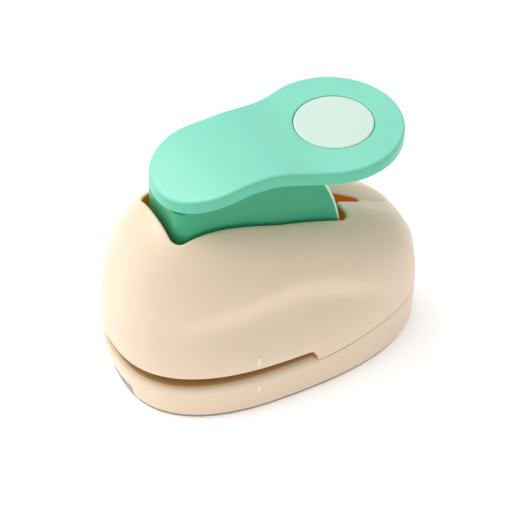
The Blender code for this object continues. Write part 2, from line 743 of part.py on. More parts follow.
def make_lever():
    lever = make_pad("lever")
    badge_seat = cylinder(
        "badge_seat", (0, BADGE_Y), SHAPE_DIAMETER / 2 + GAP, PAD_TOP - 1.0, PAD_TOP + 5,
        sides=AROUND,
    )
    skirt = prism("lever_skirt", skirt_outline(0), SKIRT_FOOT - 2, 100)
    round_rear = cylinder(
        "skirt_rear_arc", (PIVOT_Y, PIVOT_Z), SKIRT_REAR_RADIUS, -20, 20, "X", 96
    )
    boolean(skirt, round_rear, "INTERSECT")
    boolean(skirt, above_pad("skirt_top_trim", PAD_THICK - 1.0))
    hollow = prism("skirt_hollow", skirt_outline(SKIRT_WALL), SKIRT_FOOT - 10, 100)
    inner_arc = cylinder(
        "hollow_rear_arc", (PIVOT_Y, PIVOT_Z), SKIRT_REAR_RADIUS - SKIRT_WALL, -20, 20, "X", 96
    )
    boolean(hollow, inner_arc, "INTERSECT")
    boolean(hollow, above_pad("hollow_top_trim", PAD_THICK + 0.6))
    boolean(skirt, hollow)
    front_foot = SKIRT_FOOT + 8.5
    front_relief = [
        (SKIRT_FRONT - 5, SKIRT_FOOT - 12),
        (SKIRT_FRONT - 5, front_foot),
        (PIVOT_Y + 3.4, front_foot),
        (PIVOT_Y + 9, SKIRT_FOOT),
        (60, SKIRT_FOOT),
        (60, SKIRT_FOOT - 12),
    ]
    boolean(skirt, prism("skirt_foot_trim", front_relief, -20, 20, "X"))
    boolean(lever, skirt, "UNION")
    for side, sign in sides(1):
        inner, outer = sorted(((SKIRT_HALF_WIDTH - SKIRT_WALL) * sign, SKIRT_HALF_WIDTH * sign))
        arc = [math.radians(180 + 15 * i) for i in range(13)]
        ear = [
            (PIVOT_Y + KNUCKLE_RADIUS * math.cos(a), PIVOT_Z + KNUCKLE_RADIUS * math.sin(a))
            for a in arc
        ]
        ear += [(PIVOT_Y + 7, front_foot + 3), (PIVOT_Y + 1.2, front_foot + 3)]
        form = prism(f"pivot_ear_{side}", ear, inner, outer, "X")
        boolean(lever, form, "UNION")
    web_reach = SKIRT_HALF_WIDTH - SKIRT_WALL + 0.5
    web = box(
        "nose_web",
        (-web_reach, PUNCH_Y - 1.2, PIVOT_Z + NOSE_RADIUS),
        (web_reach, PUNCH_Y + 1.2, pad_height(PUNCH_Y) - PAD_THICK + 0.8),
    )
    boolean(lever, web, "UNION")
    nose = cylinder(
        "lever_nose", (PUNCH_Y, PIVOT_Z + NOSE_RADIUS), NOSE_RADIUS, -web_reach, web_reach, "X", 24
    )
    boolean(lever, nose, "UNION")
    boolean(lever, cylinder("pivot_bore", (PIVOT_Y, PIVOT_Z), PIN_RADIUS + 0.3, -20, 20, "X", 20))
    boolean(lever, badge_seat)
    return finish(lever, MINT, LEVER_AXIS, 30)


def make_shape_badge():
    """The pale disc let into the pad. It shows the punched shape at full size."""
    radius = SHAPE_DIAMETER / 2
    profile = [
        (0, PAD_TOP),
        (radius - 0.25, PAD_TOP),
        (radius, PAD_TOP - 0.25),
        (radius, PAD_TOP - 0.7),
        (0, PAD_TOP - 0.7),
    ]
    return finish(turned("shape_badge", profile, (0, BADGE_Y), AROUND), PALE, LEVER_AXIS)


def make_lever_pin():
    pin = cylinder(
        "lever_pin", (PIVOT_Y, PIVOT_Z), PIN_RADIUS, -17.9, 17.9, "X", 20, collection=PUNCH
    )
    groove_sides = [(x, x + 0.9) for x in (-17.5, 16.6)]
    for low, high in groove_sides:
        ring = cylinder(f"pin_groove_{low}", (PIVOT_Y, PIVOT_Z), 4, low, high, "X", 20)
        boolean(ring, cylinder(f"pin_core_{low}", (PIVOT_Y, PIVOT_Z), 1.5, low - 1, high + 1, "X", 20))
        boolean(pin, ring)
    return finish(pin, STEEL, HOUSING)


def make_pin_clip(side, sign):
    low, high = sorted((16.75 * sign, 17.35 * sign))
    clip = cylinder(
        f"pin_clip_{side}", (PIVOT_Y, PIVOT_Z), 3.6, low, high, "X", 20, collection=PUNCH
    )
    boolean(clip, cylinder(f"clip_bore_{side}", (PIVOT_Y, PIVOT_Z), 1.8, low - 1, high + 1, "X", 16))
    mouth = box(
        f"clip_mouth_{side}",
        (low - 1, PIVOT_Y - 1.3, PIVOT_Z - 6),
        (high + 1, PIVOT_Y + 1.3, PIVOT_Z),
    )
    boolean(clip, mouth)
    return finish(clip, SPRING, HOUSING)


def main():
    make_upper_shell()
    make_base_housing()
    make_bottom_frame()
    make_waste_door()
    make_waste_door_pin()
    make_die_plate()
    make_guide_plate()
    make_punch()
    make_ram()
    seat = RAM_FLANGE_Z + 4.5
    make_screw("punch_screw", (0, PUNCH_Y), seat, seat + 1.8, seat - 11.5, 2.8, 1.5, RAM_AXIS)
    for side, sign in sides(1):
        make_frame_post(side, POST_X * sign)
        make_screw(
            f"frame_screw_{side}", (POST_X * sign, POST_Y),
            GUIDE_TOP + GAP, GUIDE_TOP + 2.1, DIE_FOOT + 0.4, 2.9, 1.4, HOUSING,
        )
        make_bracket(side, sign)
        make_screw(
            f"bracket_screw_{side}", (18.6 * sign, PIVOT_Y),
            GUIDE_TOP + 2.3, GUIDE_TOP + 3.7, GUIDE_TOP - 2.7, 1.9, 0.95, HOUSING,
        )
        make_guide_pin(side, GUIDE_PIN_X * sign)
        make_return_spring(side, GUIDE_PIN_X * sign)
        for row, (x, y) in HOUSING_SCREWS.items():
            make_screw(
                f"housing_screw_{row}_{side}", (x * sign, y),
                3.3, 4.9, HOUSING_SCREW_END, 2.6, 1.2, HOUSING,
            )
        make_screw(
            f"bottom_frame_screw_{side}", (FRAME_SCREW[0] * sign, FRAME_SCREW[1]),
            0.2, 1.4, 8.8, 2.2, 0.95, HOUSING,
        )
        make_pin_clip(side, sign)
    make_lever()
    make_shape_badge()
    make_lever_pin()


main()
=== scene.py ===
"""The lever circle punch as it looks: moulded shells, mint lever and steel parts, on a pale floor.

Frame: +Z up, +Y to the rear, +X to the right of the object. Lengths below are in millimetres
unless a name says otherwise, and they are scaled to metres as meshes are made.
"""

import json
import math

import bmesh
import bpy
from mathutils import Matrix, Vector

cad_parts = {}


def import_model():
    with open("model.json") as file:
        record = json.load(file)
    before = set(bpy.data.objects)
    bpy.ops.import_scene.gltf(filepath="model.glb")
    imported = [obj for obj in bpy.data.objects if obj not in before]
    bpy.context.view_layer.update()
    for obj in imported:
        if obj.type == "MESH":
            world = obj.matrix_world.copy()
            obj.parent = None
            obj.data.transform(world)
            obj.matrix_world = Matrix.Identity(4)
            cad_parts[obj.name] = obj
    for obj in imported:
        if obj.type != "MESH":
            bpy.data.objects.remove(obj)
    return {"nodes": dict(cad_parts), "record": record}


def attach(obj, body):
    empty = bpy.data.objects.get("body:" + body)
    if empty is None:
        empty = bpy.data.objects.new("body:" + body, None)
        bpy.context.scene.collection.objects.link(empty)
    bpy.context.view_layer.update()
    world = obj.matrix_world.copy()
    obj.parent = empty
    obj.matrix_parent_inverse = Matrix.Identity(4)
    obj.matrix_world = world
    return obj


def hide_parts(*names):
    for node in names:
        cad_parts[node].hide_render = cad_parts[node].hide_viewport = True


MM = 0.001

# Housing, as in the CAD part.
MIDDLE_Y = -3.3
OVAL_POWER = 2.5
BULGE = {"z": 19.6, "half_width": 31.9, "front": 50.2, "rear": 56.8}
FOOT = {"z": 1.3, "half_width": 31.5, "front": 47.6, "rear": 56.0}
CROWN_POWER = 2.31
CROWN_HEIGHT = 61.1
CROWN_SLOPE = -0.364
CROWN_CURVE = 0.003
REAR_FULLNESS = 0.35
WALL = 2.4
DECK_Z = 14.2
DECK_THICK = 2.2
THROAT_TOP = {"front": 18.9, "flank": 17.3}
SEAM_Z = {"front": 12.9, "rear": 15.4}
ROLL = 2.8
THROAT_END = (2.0, 5.0)
SEAM = 0.3

# Opening for the lever, and the slit behind it.
OPENING_HALF_WIDTH = 12.9
OPENING_FRONT = -36.4
OPENING_REAR = 25.2
SLIT_END = 35.7
OPENING_CORNER = 3.6
OPENING_LIP = 0.7
SLIT_HALF_WIDTH = 2.4
SLIT_MOUTH = 2.4
SLIT_TIP_RADIUS = 1.3

# Valley and crease behind the slit: depth, spread to each side, and where they fade in and out.
VALLEY_DEPTH = 2.6
VALLEY_SPREAD = 8.0
CREASE_DEPTH = 0.5
CREASE_SPREAD = 1.3
VALLEY_START = (OPENING_REAR - 9, OPENING_REAR + 5)
VALLEY_END = (38.0, 52.0)

# The flank's character line, and the recess below it.
LINE_HEIGHT = 46.5
LINE_PEAK_Y = -6.0
LINE_FALL_REAR = 0.0095
LINE_FALL_FRONT = 0.002
RECESS_DEPTH = 3.4
RECESS_BAND = 10.0
RECESS_FOOT = (20.0, 36.0)

PUNCH_Y = -16.8
SEAT_RADIUS = 17.3

# Lever.
PIVOT = (-36.8, 44.0)
SKIRT_HALF_WIDTH = 12.3
SKIRT_FRONT = -34.7
SKIRT_REAR_RADIUS = 59.6
SKIRT_WALL = 2.0
SKIRT_FOOT = 41.0
SKIRT_LEVELS = 18
KNUCKLE_RADIUS = 4.3
BORE_RADIUS = 2.3
NOSE_RADIUS = 3.0
PAD_TOP = 80.6
PAD_THICK = 5.5
PAD_REAR = (24.3, 23.7)
PAD_FRONT = (-17.7, 17.5)
PAD_FRONT_REACH = 18.8
PAD_FRONT_POWER = 2.15
PAD_WAIST = 17.3
ARCH_RISE = 3.0
ARCH_START = 11.0
ARCH_CREST = 33.0
ARCH_FALL = 0.0062
BADGE_Y = 25.8
BADGE_RADIUS = 12.7
BADGE_GAP = 0.3
BADGE_THICK = 0.7
SKIRT_CORNER = {"front": 4.8, "rear": 1.6}
CORNER_STEPS = {"front": 14, "rear": 10}

# Finger tab of the waste door, for which the base is notched.
TAB_HALF_WIDTH = 8.8
TAB_TOP = 7.0
TAB_GAP = 0.4

# How finely curved faces are stepped.
OUTER_STEPS = 44
INNER_STEPS = 16
BASE_RAYS = 320
BADGE_RAYS = 128

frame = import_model()
bpy.context.scene.view_settings.view_transform = "Standard"
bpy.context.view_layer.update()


# ---------------------------------------------------------------- materials


def linear(channel):
    return channel / 12.92 if channel <= 0.04045 else ((channel + 0.055) / 1.055) ** 2.4


def rgba(hex_colour):
    return [*(linear(int(hex_colour[i : i + 2], 16) / 255) for i in (0, 2, 4)), 1.0]


DRIFT_SCALE = 38.0
GLOSS_SPREAD = 0.06
GRAIN_HEIGHT = 0.0002
SCATTER_REACH = 0.002


def material(name, hex_colour, other_hex, roughness, metallic=0.0, grain=900.0, bump=0.02,
             sub=0.0, stretch=(1, 1, 1)):
    """A surface whose colour drifts softly between two tones, with fine grain in its gloss."""
    made = bpy.data.materials.new(name)
    made.use_nodes = True
    nodes, links = made.node_tree.nodes, made.node_tree.links
    shader = nodes["Principled BSDF"]
    shader.inputs["Metallic"].default_value = metallic
    shader.inputs["Subsurface Weight"].default_value = sub
    shader.inputs["Subsurface Scale"].default_value = SCATTER_REACH
    place_on = nodes.new("ShaderNodeTexCoord")
    fine_map = nodes.new("ShaderNodeMapping")
    fine_map.inputs["Scale"].default_value = stretch
    links.new(place_on.outputs["Object"], fine_map.inputs["Vector"])
    broad = nodes.new("ShaderNodeTexNoise")
    broad.inputs["Scale"].default_value = DRIFT_SCALE
    broad.inputs["Detail"].default_value = 3.0
    links.new(place_on.outputs["Object"], broad.inputs["Vector"])
    ramp = nodes.new("ShaderNodeValToRGB")
    ramp.color_ramp.elements[0].position = 0.3
    ramp.color_ramp.elements[0].color = rgba(other_hex)
    ramp.color_ramp.elements[1].position = 0.7
    ramp.color_ramp.elements[1].color = rgba(hex_colour)
    links.new(broad.outputs["Fac"], ramp.inputs["Fac"])
    links.new(ramp.outputs["Color"], shader.inputs["Base Color"])
    fine = nodes.new("ShaderNodeTexNoise")
    fine.inputs["Scale"].default_value = grain
    fine.inputs["Detail"].default_value = 2.0
    links.new(fine_map.outputs["Vector"], fine.inputs["Vector"])
    gloss = nodes.new("ShaderNodeMapRange")
    gloss.inputs["To Min"].default_value = roughness - GLOSS_SPREAD
    gloss.inputs["To Max"].default_value = roughness + GLOSS_SPREAD
    links.new(fine.outputs["Fac"], gloss.inputs["Value"])
    links.new(gloss.outputs["Result"], shader.inputs["Roughness"])
    relief = nodes.new("ShaderNodeBump")
    relief.inputs["Strength"].default_value = bump
    relief.inputs["Distance"].default_value = GRAIN_HEIGHT
    links.new(fine.outputs["Fac"], relief.inputs["Height"])
    links.new(relief.outputs["Normal"], shader.inputs["Normal"])
    return made


CREAM = material("cream_moulded", "ead5bb", "e8d3b8", 0.36, grain=1500, bump=0.03, sub=0.12)
# Painted shade: the next two tones darken the top of the base's roll, in bands, where the shell's
# lower edge shades it.
CREAM_RIM_SHADE = material("cream_rim_painted_shade", "e2c9a4", "dfc6a0", 0.40, grain=1500, bump=0.03, sub=0.12)
CREAM_ROLL_SHADE = material("cream_shade", "cda878", "c9a473", 0.42, grain=1500, bump=0.03, sub=0.1)
# Painted light: the inside's deep orange stands in for light passing through and bouncing inside
# the thin cream plastic.
CREAM_INSIDE_GLOW = material("cream_inside_painted_glow", "cb7a2c", "c57427", 0.5, grain=1500, bump=0.03, sub=0.1)
MINT = material("mint_moulded", "84d8bf", "80d4bb", 0.33, grain=1500, bump=0.02, sub=0.10)
# Painted shade: the skirt and the lever's core are a darker, deeper mint than the pad, for the
# shade under it.
MINT_SHADED = material("mint_skirt_painted_shade", "25a274", "229e70", 0.36, grain=1500, bump=0.02, sub=0.06)
# Painted shade: the pad's side and underside are darker than its top.
MINT_SIDE_SHADE = material("mint_side_painted_shade", "5ec8a2", "5ac49e", 0.34, grain=1500, bump=0.02, sub=0.08)
# Painted highlight: a light line down the skirt's rear corners.
MINT_HIGHLIGHT = material("mint_edge_painted_highlight", "c4eedd", "bfe9d8", 0.30, grain=1500, bump=0.02, sub=0.08)
PALE = material("pale_inlay", "cce2d6", "c8dfd3", 0.42, grain=2200, bump=0.04, sub=0.05)
TICK = material("cream_tick", "f8eddc", "f6ead8", 0.36, grain=1500, bump=0.03, sub=0.12)
GREY = material("grey_moulded", "a0968e", "999088", 0.5, grain=2600, bump=0.10)
ACETAL = material("acetal", "e8e5dd", "e3e0d8", 0.42, grain=1800, bump=0.03, sub=0.1)
BRIGHT = material("zinc_plate", "bfc2c5", "b2b5b9", 0.26, 1.0, 3200, 0.04)
TOOL = material("ground_steel", "9fa2a6", "94979b", 0.33, 1.0, 700, 0.10, stretch=(1, 14, 1))
WIRE = material("drawn_wire", "adb0b4", "a2a5a9", 0.28, 1.0, 900, 0.08, stretch=(1, 1, 9))
# Painted glow: thin plastic lets light through, so the inside is given a faint emission that
# stands in for that light.
inside_glow = CREAM_INSIDE_GLOW.node_tree.nodes["Principled BSDF"]
inside_glow.inputs["Emission Color"].default_value = rgba("c96a12")
inside_glow.inputs["Emission Strength"].default_value = 0.22

# The floor's own faint glow keeps the ground white round the object.
FLOOR = material("pale_floor", "fbfbfb", "fafafa", 0.85, grain=300, bump=0.01)
glow = FLOOR.node_tree.nodes["Principled BSDF"]
glow.inputs["Emission Color"].default_value = (1, 1, 1, 1)
glow.inputs["Emission Strength"].default_value = 0.33

PAINTS = {
    "cream_plastic": CREAM,
    "mint_plastic": MINT,
    "pale_plastic": PALE,
    "grey_plastic": GREY,
    "bright_steel": BRIGHT,
    "tool_steel": TOOL,
    "spring_steel": WIRE,
    "white_acetal": ACETAL,
}
EDGE_WIDTH = 0.00018

# Every CAD piece is painted, and all but the springs get softened edges.
for part in frame["record"]["subparts"]:
    node = frame["nodes"][part["node"]]
    for held in node.material_slots:
        held.material = PAINTS[part["material_slot"]]
    if "spring" not in part["node"]:
        edge = node.modifiers.new("edge", "BEVEL")
        edge.width = EDGE_WIDTH
        edge.segments = 2
        edge.limit_method = "ANGLE"
        edge.angle_limit = math.radians(40)


# ------------------------------------------------------- meshes and profiles


def mesh_object(name, points, faces, paints, tags=None, smooth_angle=40):
    """A smooth-shaded object. tags gives the material index of each face."""
    mesh = bpy.data.meshes.new(name)
    mesh.from_pydata([tuple(value * MM for value in point) for point in points], [], faces)
    work = bmesh.new()
    work.from_mesh(mesh)
    bmesh.ops.recalc_face_normals(work, faces=work.faces)
    work.to_mesh(mesh)
    work.free()
    for paint in paints:
        mesh.materials.append(paint)
    if tags:
        mesh.polygons.foreach_set("material_index", tags)
    mesh.shade_smooth()
    mesh.set_sharp_from_angle(angle=math.radians(smooth_angle))
    obj = bpy.data.objects.new(name, mesh)
    bpy.context.scene.collection.objects.link(obj)
    return obj


def skin(rings, closed_profile=False, start=0):
    """Faces between rings of equally many points. start is the number of the first point."""
    count = len(rings[0])
    faces = []
    for k in range(len(rings) if closed_profile else len(rings) - 1):
        low, high = start + k * count, start + (k + 1) % len(rings) * count
        for i in range(count):
            j = (i + 1) % count
            faces.append((low + i, low + j, high + j, high + i))
    return faces


def smooth_step(value, low, high):
    """0 below low, 1 above high, and an even S-curve between."""
    share = min(max((value - low) / (high - low), 0.0), 1.0)
    return share * share * (3 - 2 * share)


def crown(y):
    """Height of the dome's middle line."""
    return CROWN_HEIGHT + CROWN_SLOPE * y + CROWN_CURVE * y * y


def oval_reach(turn, sizes):
    """Distance from the housing's middle to the oval of those sizes, in the direction turn."""
    half_width, front, rear = sizes
    across = abs(math.cos(turn)) / half_width
    along = abs(math.sin(turn)) / (rear if math.sin(turn) > 0 else front)
    return (across**OVAL_POWER + along**OVAL_POWER) ** (-1 / OVAL_POWER)


BULGE_SIZES = [BULGE[key] for key in ("half_width", "front", "rear")]


def wall_sizes(z, inset=0.0):
    """The oval's half width and its reach to the front and rear, at a height below the bulge."""
    rise = (z - FOOT["z"]) / (BULGE["z"] - FOOT["z"])
    share = 1 - (1 - rise) ** 2
    return [
        FOOT[key] + (BULGE[key] - FOOT[key]) * share - inset
        for key in ("half_width", "front", "rear")
    ]


def place(turn, reach, z):
    """The point at a distance from the housing's middle, in the direction turn."""
    return (reach * math.cos(turn), MIDDLE_Y + reach * math.sin(turn), z)


def dome_power(turn):
    """How square the dome's profile is in a direction: fuller at the rear."""
    return CROWN_POWER + REAR_FULLNESS * smooth_step(math.sin(turn), 0.2, 1.0)


def rear_groove(x, y):
    """Depth of the soft valley and crease that run back from the slit."""
    fade = smooth_step(y, *VALLEY_START) * (1 - smooth_step(y, *VALLEY_END))
    valley = VALLEY_DEPTH * math.exp(-((x / VALLEY_SPREAD) ** 2))
    crease = CREASE_DEPTH * math.exp(-((x / CREASE_SPREAD) ** 2))
    return fade * (valley + crease)


def dome_height(x, y):
    """Height of the shell's outer face above the bulge."""
    turn = math.atan2(y - MIDDLE_Y, x)
    power = dome_power(turn)
    out = math.hypot(x, y - MIDDLE_Y) / oval_reach(turn, BULGE_SIZES)
    lift = max(1 - min(out, 1.0) ** power, 0.0) ** (1 / power)
    return BULGE["z"] + (crown(y) - BULGE["z"]) * lift - rear_groove(x, y)


def resample(line, count):
    """count points evenly spaced along a flat polyline."""
    lengths = [0.0]
    for a, b in zip(line, line[1:]):
        lengths.append(lengths[-1] + math.dist(a, b))
    out, k = [], 0
    for i in range(count):
        goal = lengths[-1] * i / (count - 1)
        while k < len(line) - 2 and lengths[k + 1] < goal:
            k += 1
        span = lengths[k + 1] - lengths[k] or 1.0
        share = min(max((goal - lengths[k]) / span, 0.0), 1.0)
        out.append(tuple(a + (b - a) * share for a, b in zip(line[k], line[k + 1])))
    return out


def arc(x, y, radius, start, end, count):
    """count points of a circular arc, from start to end in degrees."""
    points = []
    for i in range(count):
        turn = math.radians(start + (end - start) * i / (count - 1))
        points.append((x + radius * math.cos(turn), y + radius * math.sin(turn)))
    return points


# ------------------------------------------------------------- upper shell


def opening_outline(grow):
    """The lever's opening with the slit behind it, grown outward into the shell by grow."""
    side, corner, mouth, tip = OPENING_HALF_WIDTH, OPENING_CORNER, SLIT_MOUTH, SLIT_TIP_RADIUS
    half = arc(0, SLIT_END - tip, tip + grow, 90, 8, 12)
    half += arc(SLIT_HALF_WIDTH + mouth, OPENING_REAR + mouth, mouth - grow, 176, 270, 14)
    half += arc(side - corner, OPENING_REAR - corner, corner + grow, 90, 0, 16)
    side_top, side_low = OPENING_REAR - corner, OPENING_FRONT + corner
    levels = [side_top + (side_low - side_top) * i / 60 for i in range(1, 60)]
    # Rays packed closely here meet the lower edge where the throat ends.
    levels += [-1.9 + 0.17 * i for i in range(17)]
    half += [(side + grow, level) for level in sorted(levels, reverse=True)]
    half += arc(side - corner, side_low, corner + grow, 0, -90, 16)
    inner = side - corner
    half += [(inner * (1 - i / 14), OPENING_FRONT - grow) for i in range(1, 15)]
    return half + [(-x, y) for x, y in half[-2:0:-1]]


def seam_height(y):
    """Height of the parting line, which climbs a little towards the rear."""
    climb = smooth_step(y, THROAT_END[1], 34.0)
    return SEAM_Z["front"] + (SEAM_Z["rear"] - SEAM_Z["front"]) * climb


def edge_height(y):
    """Height of the shell's lower edge: over the throat at the front, on the seam behind it."""
    front = MIDDLE_Y - BULGE["front"]
    along = min(max((y - front) / (THROAT_END[0] - front), 0.0), 1.0)
    roof = THROAT_TOP["front"] + (THROAT_TOP["flank"] - THROAT_TOP["front"]) * along
    end = min(max((y - THROAT_END[0] + 1.2) / (THROAT_END[1] - THROAT_END[0] + 0.8), 0.0), 1.0)
    drop = 1 - math.sqrt(max(1 - end**2.6, 0.0))
    return roof + (seam_height(y) - roof) * drop


def side_relief(turn, z):
    """How far the flank is let in below its soft character line."""
    past = MIDDLE_Y + math.sin(turn) * oval_reach(turn, BULGE_SIZES) - LINE_PEAK_Y
    fall = LINE_FALL_REAR if past > 0 else LINE_FALL_FRONT
    below = LINE_HEIGHT - fall * past**2 - z
    flank = smooth_step(abs(math.cos(turn)), 0.3, 0.8)
    depth = RECESS_DEPTH * flank
    return depth * smooth_step(below, 0.0, RECESS_BAND) * smooth_step(z, *RECESS_FOOT)


def shell_profile(x, y, count):
    """The outer face along one ray, from the opening's lip down to the lower edge's lip."""
    turn = math.atan2(y - MIDDLE_Y, x)
    full = oval_reach(turn, BULGE_SIZES)
    first = math.hypot(x, y - MIDDLE_Y) / full
    edge_y = MIDDLE_Y + full * math.sin(turn)
    foot = edge_height(edge_y)
    over = smooth_step(foot - seam_height(edge_y), 0.5, 2.5)
    radius = 0.3 + 0.6 * over
    power = dome_power(turn)
    start = math.acos(min(first ** (power / 2), 1.0))
    line = []
    steps, drop = 160, 0.25
    for i in range(steps + 1):
        bend = start * (1 - i / steps)
        out = math.cos(bend) ** (2 / power)
        lift = math.sin(bend) ** (2 / power) if bend > 0 else 0.0
        reach = full * out
        z = BULGE["z"] + (crown(MIDDLE_Y + reach * math.sin(turn)) - BULGE["z"]) * lift
        if z < foot + radius:
            break
        line.append((reach, z))
    z = line[-1][1]
    while z - drop > foot + radius:
        z -= drop
        if z < BULGE["z"]:
            line.append((oval_reach(turn, wall_sizes(z)), z))
    line = [
        (reach - side_relief(turn, z), z - rear_groove(*place(turn, reach, z)[:2]))
        for reach, z in resample(line, count)
    ]
    last = line[-1][0]
    lip = []
    for angle in (18, 36, 54, 72, 90):
        bend = math.radians(angle)
        lip.append((last - radius * (1 - math.cos(bend)), foot + radius * (1 - math.sin(bend))))
    return turn, line, lip, foot


def make_shell():
    """The upper shell as rings: the opening's lip, the outer face, the lower lip, the inside."""
    wide = opening_outline(OPENING_LIP)
    rays = len(wide)
    profiles = [shell_profile(x, y, OUTER_STEPS) for x, y in wide]
    rings = []
    for angle in (90, 72, 54, 36, 18):
        bend = math.radians(angle)
        grown = opening_outline(OPENING_LIP * (1 - math.sin(bend)))
        drop = OPENING_LIP * (1 - math.cos(bend))
        rings.append([
            (gx, gy, dome_height(wx, wy) - drop) for (gx, gy), (wx, wy) in zip(grown, wide)
        ])
    for k in range(OUTER_STEPS):
        rings.append([place(turn, *line[k]) for turn, line, lip, foot in profiles])
    for k in range(len(profiles[0][2])):
        rings.append([place(turn, *lip[k]) for turn, line, lip, foot in profiles])
    outer_rings = len(rings)
    rings.append([place(turn, line[-1][0] - WALL, foot) for turn, line, lip, foot in profiles])
    for i in range(1, INNER_STEPS):
        pick = round((OUTER_STEPS - 1) * (1 - i / INNER_STEPS))
        ring = []
        for turn, line, lip, foot in profiles:
            reach, z = line[pick]
            before, after = line[max(pick - 1, 0)], line[min(pick + 1, OUTER_STEPS - 1)]
            slope = math.atan2(after[1] - before[1], after[0] - before[0])
            ring.append(place(turn, reach + WALL * math.sin(slope),
                              z - WALL * math.cos(slope)))
        rings.append(ring)
    mouth = opening_outline(0)
    rings.append([(x, y, dome_height(*w) - WALL * 1.6) for (x, y), w in zip(mouth, wide)])
    points = [point for ring in rings for point in ring]
    faces = skin(rings, closed_profile=True)
    # Painted light: the shell's inside takes the orange painted glow.
    tags = [0 if i < outer_rings * rays else 1 for i in range(len(faces))]
    return mesh_object("shell_skin", points, faces, [CREAM, CREAM_INSIDE_GLOW], tags, 50)


shell = make_shell()
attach(shell, "housing")
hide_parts("upper_shell")


# -------------------------------------------------------------------- base


def oval_ring(sizes, z):
    turns = [2 * math.pi * i / BASE_RAYS for i in range(BASE_RAYS)]
    return [place(turn, oval_reach(turn, sizes), z) for turn in turns]


def between(ring, circle, share, z):
    """A level ring part of the way from one ring to another."""
    return [
        (a[0] + (b[0] - a[0]) * share, a[1] + (b[1] - a[1]) * share, z)
        for a, b in zip(ring, circle)
    ]


def circle_for(ring, radius):
    """The point of the die seat's circle that each point of a ring looks towards."""
    points = []
    for x, y, z in ring:
        turn = math.atan2(y - PUNCH_Y, x)
        points.append((radius * math.cos(turn), PUNCH_Y + radius * math.sin(turn), z))
    return points


def rim_profile(y):
    """(inset, height) of the base's upper edge: a broad roll into the throat, or a ledge."""
    roll = []
    for angle in (0, 11, 22, 34, 45, 56, 67, 79, 90):
        bend = math.radians(angle)
        roll.append((ROLL * (1 - math.cos(bend)), DECK_Z - ROLL * (1 - math.sin(bend))))
    top = seam_height(y) - SEAM
    step = max(DECK_Z, top)
    ledge = [(0.0, top - 0.45), (0.06, top - 0.2), (0.2, top - 0.06), (0.45, top), (1.2, top),
             (2.0, top), (2.7, top), (2.75, (top + step) / 2), (2.8, DECK_Z)]
    share = smooth_step(y, THROAT_END[1] - 1.6, THROAT_END[1] + 0.6)
    return [
        (a[0] + (b[0] - a[0]) * share, a[1] + (b[1] - a[1]) * share)
        for a, b in zip(roll, ledge)
    ]


def make_base():
    """The base as rings: the foot, the outer wall, the rim, the deck and its seat, the inside."""
    turns = [2 * math.pi * i / BASE_RAYS for i in range(BASE_RAYS)]
    edge_y = [MIDDLE_Y + oval_reach(t, BULGE_SIZES) * math.sin(t) for t in turns]
    rims = [rim_profile(y) for y in edge_y]
    rings = []
    foot_round = 0.5
    for angle in (0, 30, 60, 90):
        bend = math.radians(angle)
        sizes = wall_sizes(FOOT["z"], foot_round * (1 - math.sin(bend)))
        rings.append(oval_ring(sizes, FOOT["z"] + foot_round * (1 - math.cos(bend))))
    low = FOOT["z"] + foot_round
    for i in range(1, 8):
        rings.append([
            place(t, oval_reach(t, wall_sizes(low + (rim[0][1] - low) * i / 8)),
                  low + (rim[0][1] - low) * i / 8)
            for t, rim in zip(turns, rims)
        ])
    for k in range(len(rims[0])):
        rings.append([
            place(t, oval_reach(t, wall_sizes(rim[k][1])) - rim[k][0], rim[k][1])
            for t, rim in zip(turns, rims)
        ])
    outside = len(rings) - 1
    deck = rings[-1]
    circle = circle_for(deck, SEAT_RADIUS)
    for share in (0.12, 0.3, 0.5, 0.7, 0.85, 0.97, 1.0):
        rings.append(between(deck, circle, share, DECK_Z - (0.15 if share == 1.0 else 0.0)))
    under_z = DECK_Z - DECK_THICK
    rings.append(between(deck, circle, 1.0, under_z))
    for inset, z in ((3.2, under_z), (0.4, under_z - 2.4), (0.0, under_z - 3.6), (0.0, FOOT["z"])):
        rings.append(oval_ring(wall_sizes(z, WALL + inset), z))
    points = [point for ring in rings for point in ring]
    faces = skin(rings, closed_profile=True)
    # Painted shade and glow: the roll's top gets two painted shade bands, then the deck and the
    # inside take the painted orange glow.
    tags = []
    for i in range(len(faces)):
        inward = i // BASE_RAYS - outside
        tags.append(0 if inward < -4 else 1 if inward < -2 else 2 if inward < 1 else 3)
    paints = [CREAM, CREAM_RIM_SHADE, CREAM_ROLL_SHADE, CREAM_INSIDE_GLOW]
    return mesh_object("base_skin", points, faces, paints, tags, 50)


base = make_base()
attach(base, "housing")
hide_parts("base_housing")


def rounded_box(name, low, high, radius, paint, body=None):
    """A box with all its edges rounded."""
    mesh = bpy.data.meshes.new(name)
    work = bmesh.new()
    bmesh.ops.create_cube(work, size=1)
    for vert in work.verts:
        vert.co = [((a + b) / 2 + v * (b - a)) * MM for a, b, v in zip(low, high, vert.co)]
    bmesh.ops.bevel(work, geom=work.edges[:], offset=radius * MM, segments=3,
                    affect="EDGES", profile=0.5)
    work.to_mesh(mesh)
    work.free()
    mesh.materials.append(paint)
    mesh.shade_smooth()
    mesh.set_sharp_from_angle(angle=math.radians(50))
    obj = bpy.data.objects.new(name, mesh)
    bpy.context.scene.collection.objects.link(obj)
    if body:
        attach(obj, body)
    return obj


def cut(obj, cutter):
    """Cuts a shape away for good and removes the cutter."""
    modifier = obj.modifiers.new("cut", "BOOLEAN")
    modifier.object = cutter
    modifier.operation = "DIFFERENCE"
    view = bpy.context.evaluated_depsgraph_get()
    mesh = bpy.data.meshes.new_from_object(obj.evaluated_get(view), depsgraph=view)
    obj.modifiers.clear()
    obj.data = mesh
    mesh.shade_smooth()
    mesh.set_sharp_from_angle(angle=math.radians(35))
    bpy.data.objects.remove(cutter, do_unlink=True)


notch_side = TAB_HALF_WIDTH + TAB_GAP
cut(base, rounded_box("tab_notch", (-notch_side, -60, -3), (notch_side, -43, TAB_TOP), 0.8, CREAM))


